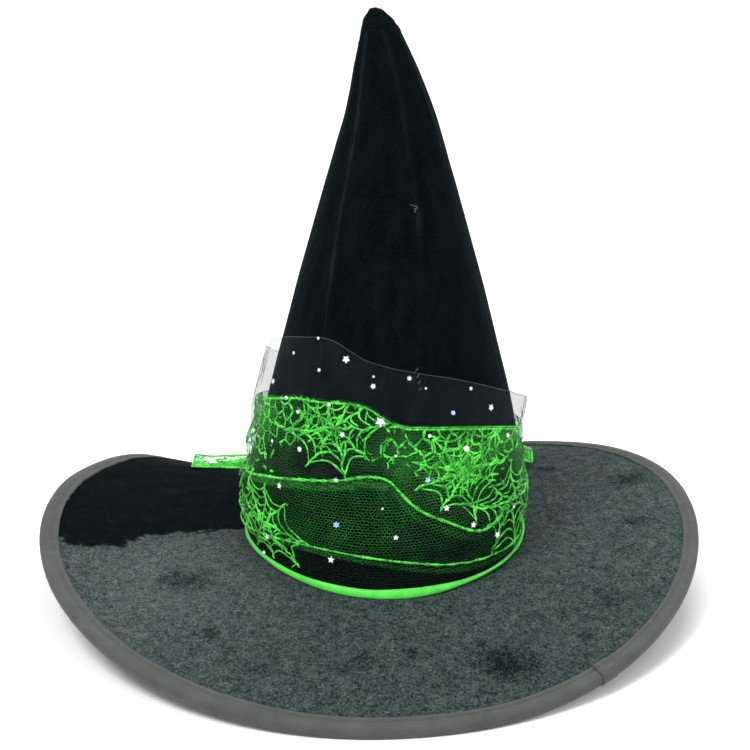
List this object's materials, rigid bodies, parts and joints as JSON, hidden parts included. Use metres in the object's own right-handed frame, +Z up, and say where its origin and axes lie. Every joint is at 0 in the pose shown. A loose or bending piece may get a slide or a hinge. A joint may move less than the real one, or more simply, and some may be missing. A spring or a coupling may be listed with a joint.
{
  "type": "witch hat",
  "caption": "Pointed black velvet hat with a wide waved brim, grey rim binding and a green web-lace scarf knotted round the crown, which opens below for a head.",
  "frame": {"origin": "centre of the head opening, in the plane where the crown meets the brim", "axes": "+Z up along the crown, -Y towards the front of the hat, +X to the right seen from the front"},
  "size_m": [0.4469, 0.4338, 0.3979],
  "materials": {
    "crown_velvet": "black velvet, very matt, with a faint green sheen",
    "brim_velvet": "crushed black velvet with a mottled grey nap",
    "buckram": "stiff starched open weave",
    "lining_cloth": "smooth black lining",
    "grosgrain": "ribbed black band",
    "under_cloth": "plain black cloth",
    "steel_wire": "spring wire",
    "bias_tape": "grey-olive woven tape, stitched",
    "web_lace": "bright green spider-web lace on a fine net",
    "green_satin": "shiny green satin fold",
    "black_tulle": "sheer black net",
    "sequin_foil": "mirror-bright foil",
    "thread": "grey sewing thread"
  },
  "bodies": {
    "hat": {"crown_gore_1": "crown_velvet", "crown_gore_2": "crown_velvet", "crown_gore_3": "crown_velvet", "crown_gore_4": "crown_velvet", "crown_gore_5": "crown_velvet", "crown_gore_6": "crown_velvet", "crown_tip": "crown_velvet", "crown_stiffener": "buckram", "crown_lining": "lining_cloth", "sweatband": "grosgrain", "brim_top_cover": "brim_velvet", "brim_stiffener": "buckram", "brim_under_cover": "under_cloth", "brim_wire": "steel_wire", "brim_binding": "bias_tape", "binding_join": "bias_tape", "scarf_lower_roll": "web_lace", "scarf_upper_band": "web_lace", "scarf_hem": "green_satin", "tulle_band": "black_tulle", "star_sequins": "sequin_foil", "round_sequins": "sequin_foil", "tack_stitches": "thread", "scarf_knot": "web_lace"},
    "tail_left": {"scarf_tail_left": "web_lace"},
    "tail_right": {"scarf_tail_right": "web_lace"}
  },
  "joints": [
    {"name": "tail_left_lift", "type": "hinge", "parent": "hat", "child": "tail_left", "pos_m": [-0.0165, 0.1085, 0.042], "axis": [0, 1, 0], "range_deg": [0, 55]},
    {"name": "tail_right_lift", "type": "hinge", "parent": "hat", "child": "tail_right", "pos_m": [0.0165, 0.1085, 0.042], "axis": [0, -1, 0], "range_deg": [0, 55]}
  ]
}
